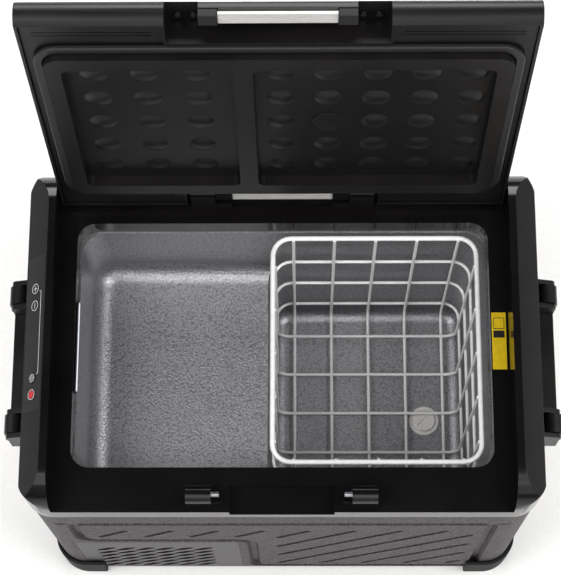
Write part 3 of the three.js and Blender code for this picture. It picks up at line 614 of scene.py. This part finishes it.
# Control panel: a gloss acrylic overlay set in the slope of the left cap, with four flush keys.
# Thin printed marks show plus, minus, a gear wheel and a red power key, and a fine line links two of them.
acrylic = speckled("gloss_black_acrylic", "#060607", "#0b0b0c", 0.04, 0.01 * MM, 0.02, Roughness=0.08,
                   IOR=1.49)
white_print = speckled("white_screen_print", "#cfcfd0", "#e4e4e4", 1 * MM, Roughness=0.5)
red_print = speckled("red_screen_print", "#b3161c", "#cf2229", 1 * MM, Roughness=0.45)
recast("control_panel", "panel_overlay", acrylic, "gloss_panel", 0)
slope = Matrix.Translation((-0.26275, 0, 0.38825)) @ Matrix.Rotation(math.radians(-45), 4, "Y")
PRINT = 0.12 * MM
KEY_TOP = 0.5 * MM


def ring(bm, place, inner, outer, thick=PRINT, steps=32):
    """A flat printed ring, added to bm."""
    turns = [2 * math.pi * k / steps for k in range(steps)]
    around = [(math.cos(angle), math.sin(angle)) for angle in turns]
    loops = [[bm.verts.new(place @ Vector((r * c, r * s, h))) for c, s in around]
             for r, h in ((inner, 0), (outer, 0), (outer, thick), (inner, thick))]
    new = []
    for a, b in zip(loops, loops[1:] + loops[:1]):
        for k in range(steps):
            new.append(bm.faces.new((a[k], a[(k + 1) % steps], b[(k + 1) % steps], b[k])))
    bm.normal_update()
    bmesh.ops.recalc_face_normals(bm, faces=new)


def bar(bm, place, x, y):
    """A flat printed bar, added to bm."""
    bmesh.ops.transform(bm, verts=block(bm, x, y, (0, PRINT)), matrix=place)


for key in ("plus", "minus", "settings", "power"):
    slot = "red_key" if key == "power" else "gloss_panel"
    recast(f"{key}_button", f"{key}_key", acrylic, slot, 0)
    low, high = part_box(f"{key}_button")
    place = slope @ Matrix.Translation((0, (low.y + high.y) / 2, KEY_TOP + 0.01 * MM))
    mark = bmesh.new()
    if key != "settings":
        ring(mark, place, 5 * MM, 5.6 * MM)
    if key in ("plus", "minus"):
        bar(mark, place, (-0.35 * MM, 0.35 * MM), (-3.2 * MM, 3.2 * MM))
    if key == "plus":
        bar(mark, place, (-3.2 * MM, -0.4 * MM), (-0.35 * MM, 0.35 * MM))
        bar(mark, place, (0.4 * MM, 3.2 * MM), (-0.35 * MM, 0.35 * MM))
    if key == "settings":
        ring(mark, place, 1.3 * MM, 1.75 * MM)
        ring(mark, place, 3.1 * MM, 3.5 * MM)
        for k in range(8):
            tooth = place @ Matrix.Rotation(k * math.pi / 4, 4, "Z")
            bar(mark, tooth, (3.55 * MM, 4.9 * MM), (-0.35 * MM, 0.35 * MM))
    make_piece(mark, f"{key}_mark", white_print, f"{key}_key", slot)
    if key == "power":
        dot = bmesh.new()
        spin_up(dot, [(0, 0), (4.2 * MM, 0), (4.2 * MM, 1.4 * PRINT), (0, 1.4 * PRINT)], place)
        make_piece(dot, "power_dot", red_print, "power_key", "red_key")
link = bmesh.new()
face = slope @ Matrix.Translation((0, 0, 0.01 * MM))
bar(link, face, (9.2 * MM, 9.8 * MM), (-46 * MM, 45 * MM))
bar(link, face, (7 * MM, 9.15 * MM), (-46.6 * MM, -46 * MM))
bar(link, face, (7 * MM, 9.15 * MM), (45 * MM, 45.6 * MM))
make_piece(link, "panel_link_line", white_print, "root", "gloss_panel")

# Interior light: a thin opal lens in a black housing, clipped into the left wall under the rim.
# The lens is moulded acrylic, and it glows.
lens = speckled("opal_lamp_lens", "#f2f6fa", "#ffffff", 4 * MM, Roughness=0.3, Emission_Strength=0.6)
lens.node_tree.nodes["Principled BSDF"].inputs["Emission Color"].default_value = linear("#f4f8ff")
lamp_low, lamp_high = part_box("led_strip")
lamp = bmesh.new()
block(lamp, (lamp_high.x - 0.9 * MM, lamp_high.x), (lamp_low.y + 1 * MM, lamp_high.y - 1 * MM),
      (lamp_low.z + 4.5 * MM, lamp_high.z - 3.5 * MM))
make_piece(lamp, "lamp_lens", lens, "root", "white_lens", ["led_strip"], 0.3 * MM)
housing = bmesh.new()
block(housing, (lamp_low.x, lamp_high.x - 1 * MM), (lamp_low.y, lamp_high.y), (lamp_low.z, lamp_high.z))
make_piece(housing, "lamp_housing", fan_plastic, "root", "satin_black_abs", edge=0.5 * MM)

# Rim label: a plain yellow vinyl sticker with a dark frame and a dark block, and no words.
# Vinyl is smooth with a soft sheen.
yellow_vinyl = speckled("yellow_vinyl", "#d9b70c", "#e6c414", 6 * MM, 0.02 * MM, 0.1, Roughness=0.4)
dark_print = speckled("dark_screen_print", "#171412", "#211d1a", 2 * MM, Roughness=0.45)
RIM = 350 * MM
LABEL_X, LABEL_Y = (226.2 * MM, 241.6 * MM), (-30 * MM, 34 * MM)
label = bmesh.new()
block(label, LABEL_X, LABEL_Y, (RIM + 0.02 * MM, RIM + 0.16 * MM))
make_piece(label, "rim_label", yellow_vinyl, "root", "gloss_panel", edge=0.05 * MM)
header = bmesh.new()
INK = (RIM + 0.17 * MM, RIM + 0.2 * MM)
inner_x = (LABEL_X[0] + 1.7 * MM, LABEL_X[1] - 1.7 * MM)
block(header, inner_x, (5.5 * MM, 13.5 * MM), INK)
for y in (15.5 * MM, 27.5 * MM):
    block(header, inner_x, (y, y + 0.7 * MM), INK)
for x in (inner_x[0], inner_x[1] - 0.7 * MM):
    block(header, (x, x + 0.7 * MM), (16.25 * MM, 27.45 * MM), INK)
make_piece(header, "rim_label_header", dark_print, "root", "gloss_panel")

# Side handles: on each side a bracket with two pairs of ears, and a bail that swings out on short pins.
# All glass-filled nylon, satin black like the lid.
for side in ("left", "right"):
    recast(f"{side}_handle_bracket", f"{side}_bracket", satin_abs, "satin_black_abs", 1.2 * MM)
    recast(f"{side}_side_handle", f"{side}_bail", satin_abs, "satin_black_abs", 3 * MM, steps=3)

# Basket: welded from round steel wire, 6 mm thick at the rim and 4 mm elsewhere, dipped in white plastic.
# The uprights and the floor wires are single U shapes, and three hoops go round the walls.
dipped_white = speckled("plastic_dipped_wire", "#f0f0ef", "#fafafa", 5 * MM, 0.05 * MM, 0.15,
                        Roughness=0.28, IOR=1.5)
rim_low, rim_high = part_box("basket_rim")
floor_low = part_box("basket_floor_grille")[0]
RIM_WIRE = 2.9 * MM
WIRE = 1.85 * MM
CORNER = 20 * MM
BEND = 16 * MM


def bent(points, radius, closed):
    """A wire's centreline: straight runs with each bend rounded to radius."""
    line = []
    for i, point in enumerate(points):
        here = Vector(point)
        if not closed and i in (0, len(points) - 1):
            line.append(here)
            continue
        before, after = Vector(points[i - 1]), Vector(points[(i + 1) % len(points)])
        back, on = (before - here).normalized(), (after - here).normalized()
        half = back.angle(on) / 2
        centre = here + (back + on).normalized() * (radius / math.sin(half))
        start, end = (here + way * (radius / math.tan(half)) - centre for way in (back, on))
        line += [centre + start.slerp(end, k / 6) * radius for k in range(7)]
    return line


def wires(name, lines, radius, nodes, closed=False):
    """Round wires along the lines, as one piece of the basket."""
    curve = bpy.data.curves.new(name, "CURVE")
    curve.dimensions = "3D"
    curve.bevel_depth = radius
    curve.bevel_resolution = 2
    curve.use_fill_caps = True
    for line in lines:
        spline = curve.splines.new("POLY")
        spline.points.add(len(line) - 1)
        for spot, point in zip(spline.points, line):
            spot.co = (*point, 1)
        spline.use_cyclic_u = closed
    drawn = bpy.data.objects.new(name + "_line", curve)
    bpy.context.scene.collection.objects.link(drawn)
    worked_out = bpy.context.evaluated_depsgraph_get()
    tube = bpy.data.meshes.new_from_object(drawn.evaluated_get(worked_out))
    bm = bmesh.new()
    bm.from_mesh(tube)
    bmesh.ops.remove_doubles(bm, verts=bm.verts, dist=MERGE / 5)
    bmesh.ops.recalc_face_normals(bm, faces=bm.faces)
    bpy.data.objects.remove(drawn)
    return make_piece(bm, name, dipped_white, "basket", "white_wire", nodes, sharp=60)


rim_z = (rim_low.z + rim_high.z) / 2
left_x, right_x = rim_low.x + RIM_WIRE, rim_high.x - RIM_WIRE
front_y, back_y = rim_low.y + RIM_WIRE, rim_high.y - RIM_WIRE
hoop = [(left_x, front_y), (right_x, front_y), (right_x, back_y), (left_x, back_y)]
rim_line = bent([(x, y, rim_z) for x, y in hoop], CORNER, True)
wires("basket_rim_wire", [rim_line], RIM_WIRE, ["basket_rim"], True)
DROPS = [80 * MM, 155 * MM, 234 * MM]
hoops = [bent([(x, y, rim_high.z - drop) for x, y in hoop], CORNER, True) for drop in DROPS]
wires("basket_hoops", hoops, WIRE, ["basket_left_grille", "basket_right_grille"], True)
base_z = floor_low.z + WIRE
INSIDE = WIRE * 1.2
COLUMN_PITCH, ROW_SPACING = 45.7 * MM, 49.6 * MM
columns = [12 * MM + k * COLUMN_PITCH for k in range(5)]
rows = [-104.6 * MM + k * ROW_SPACING for k in range(5)]
uprights = []
for x in columns:
    ends = (front_y + INSIDE, back_y - INSIDE)
    path = [(x, ends[0], rim_z), (x, ends[0], base_z), (x, ends[1], base_z), (x, ends[1], rim_z)]
    uprights.append(bent(path, BEND, False))
wires("basket_uprights", uprights, WIRE, ["basket_front_grille", "basket_back_grille"])
crossings = []
for y in rows:
    ends = (left_x + INSIDE, right_x - INSIDE)
    over_z = base_z + 2 * WIRE
    path = [(ends[0], y, rim_z), (ends[0], y, over_z), (ends[1], y, over_z), (ends[1], y, rim_z)]
    crossings.append(bent(path, BEND, False))
wires("basket_cross_wires", crossings, WIRE, ["basket_floor_grille"])

# Lid shell: the crowned outer moulding, foamed inside. Injection-moulded satin ABS, plain on top.
HINGE = Matrix.Translation((0, 0.170, 0.367))
LID_ANGLE = math.radians(95.7)
opened = HINGE @ Matrix.Rotation(-LID_ANGLE, 4, "X") @ HINGE.inverted()
shut = opened.inverted()
recast("lid_outer_shell", "lid_shell", satin_abs, "satin_black_abs", 1.2 * MM, steps=3)
recast("lid_foam", "lid_foam_core", urethane_foam, "foam", 0)

# Lid inner panel: vacuum-formed ABS with a raised plateau, two sunk bays and rows of low stiffening domes.
# One spot in the middle is a flat disc, and fine slots run beside the pockets.
PANEL_Z = RIM + 6 * MM
LINE_HALF = 0.6 * MM
panel = merged("lid_inner_panel", shut)
slots = bmesh.new()
for out in (-1, 1):
    for inward in (-1, 1):
        across = sorted((inward * 117 * MM, inward * 228 * MM))
        for y in (158.5 * MM, 163.5 * MM):
            along = sorted((out * (y - LINE_HALF), out * (y + LINE_HALF)))
            block(slots, across, along, (PANEL_Z - 1 * MM, PANEL_Z + 1.3 * MM))
panel = carve(panel, slots)
panel.transform(opened)
make_piece(panel, "lid_liner_panel", satin_abs, "lid", "satin_black_abs", ["lid_inner_panel"], 1.8 * MM,
           steps=3)
DOME_R = 13.7 * MM
DOME_RISE = 3 * MM
DOME_SINK = -0.8 * MM
DOME_X = (-178, -129, -80, 0.7, 47.7, 94.7, 141, 187)
DOME_Y = (-92, -46, 0, 46, 89)
DISC_SPOT = (47.7, 0)
ball = (DOME_R ** 2 + DOME_RISE ** 2) / (2 * DOME_RISE)
sweep = math.asin(DOME_R / ball)
sweeps = [sweep * k / 7 for k in range(8)]
cap = [(ball * math.sin(angle), ball * math.cos(angle) - ball + DOME_RISE) for angle in sweeps]
cap += [(DOME_R, DOME_SINK), (0, DOME_SINK)]
domes = bmesh.new()
over = Matrix.Rotation(math.pi, 4, "X")
for x in DOME_X:
    for y in DOME_Y:
        place = opened @ Matrix.Translation((x * MM, y * MM, PANEL_Z)) @ over
        if (x, y) == DISC_SPOT:
            flat = [(0, 0.8), (14.6, 0.8), (15.4, 0), (16.2, 0), (16.8, 0.5), (16.8, -0.8), (0, -0.8)]
            spin_up(domes, [(r * MM, h * MM) for r, h in flat], place, 40)
        else:
            spin_up(domes, cap, place, 28)
make_piece(domes, "lid_domes", satin_abs, "lid", "satin_black_abs", sharp=50)

# Lid pockets: in the well beside each hook stand two round bosses, moulded with the lid.
# The plated screws that hold the handle's shaft sit in them.
ROOF = RIM + 30.4 * MM
BOSS = [(0, -0.8), (5, -0.8), (5, 1.6), (4.4, 2.2), (3.4, 2.2), (3.4, 1.2), (0, 1.2)]
SCREW = [(0, 1.25), (2.9, 1.25), (2.7, 1.9), (0, 2.1)]
bosses = bmesh.new()
screws = bmesh.new()
for end in (-1, 1):
    for side in (-1, 1):
        for across in (79, 93.5):
            place = opened @ Matrix.Translation((side * across * MM, end * 156 * MM, ROOF)) @ over
            spin_up(bosses, [(r * MM, h * MM) for r, h in BOSS], place, 24)
            spin_up(screws, [(r * MM, h * MM) for r, h in SCREW], place, 20)
make_piece(bosses, "lid_pocket_bosses", satin_abs, "lid", "satin_black_abs", sharp=40)
make_piece(screws, "lid_pocket_screws", pin_steel, "lid", "steel", sharp=40)

# Lid seal: a soft black magnetic gasket round the plateau. Extruded PVC, matt with a slight greasy sheen.
seal_pvc = speckled("soft_black_pvc", "#171516", "#221f20", 3 * MM, 0.05 * MM, 0.2, Roughness=0.5,
                    IOR=1.52)
recast("lid_gasket", "lid_seal", seal_pvc, "rubber", 1.7 * MM, steps=3)

# Release handles: a pair of hooks joined by a bar at the front and the back of the lid, on a steel shaft.
# A bright strip of brushed aluminium is bonded into each bar. Brushing leaves fine lines along the strip.
BRUSH = 0.7 * MM
brushed_strip, tree, shader, where = new_finish("brushed_aluminium", Metallic=0.25, Roughness=0.42)
drawn = add(tree, "Mapping", {"Vector": where, "Scale": (0.02, 1, 1)}).outputs["Vector"]
lines = add(tree, "TexNoise", {"Vector": drawn, "Scale": 1 / BRUSH, "Detail": 3}).outputs["Fac"]
tree.links.new(between(tree, lines, linear("#cbc8c5"), linear("#e6e4e1")), shader.inputs["Base Color"])
bump = add(tree, "Bump", {"Height": lines, "Strength": 0.25, "Distance": 0.05 * MM})
tree.links.new(bump.outputs["Normal"], shader.inputs["Normal"])
STRIP_HALF = 55 * MM
STRIP_Y = (168.3 * MM, 183.4 * MM)
STRIP_Z = (RIM + 12.5 * MM, RIM + 15.4 * MM)
LINE_PITCH = 4 * MM
CARRIER_Y = (167.5 * MM, 183 * MM)
CARRIER_Z = (RIM + 15.5 * MM, RIM + 19.55 * MM)
for end, out in (("front", -1), ("rear", 1)):
    recast(f"{end}_release_handle", f"{end}_handle", satin_abs, "satin_black_abs", 0.8 * MM)
    strip, scored, carrier = bmesh.new(), bmesh.new(), bmesh.new()
    block(strip, (-STRIP_HALF, STRIP_HALF), sorted(out * y for y in STRIP_Y), STRIP_Z)
    for k in range(3):
        line = sorted(out * (y + k * LINE_PITCH) for y in (171.5 * MM, 172.1 * MM))
        block(scored, (-53 * MM, 53 * MM), line, (RIM + 12.2 * MM, RIM + 12.9 * MM))
    strip = carve(strip, scored)
    strip.transform(opened)
    make_piece(strip, f"{end}_bright_strip", brushed_strip, f"{end}_release", "brushed_aluminium",
               [f"{end}_grip_strip"], 0.4 * MM)
    block(carrier, (-STRIP_HALF, STRIP_HALF), sorted(out * y for y in CARRIER_Y), CARRIER_Z)
    carrier.transform(opened)
    make_piece(carrier, f"{end}_strip_carrier", satin_abs, f"{end}_release", "satin_black_abs",
               edge=0.5 * MM)
    recast(f"{end}_handle_shaft", f"{end}_shaft", pin_steel, "steel", 0.3 * MM)
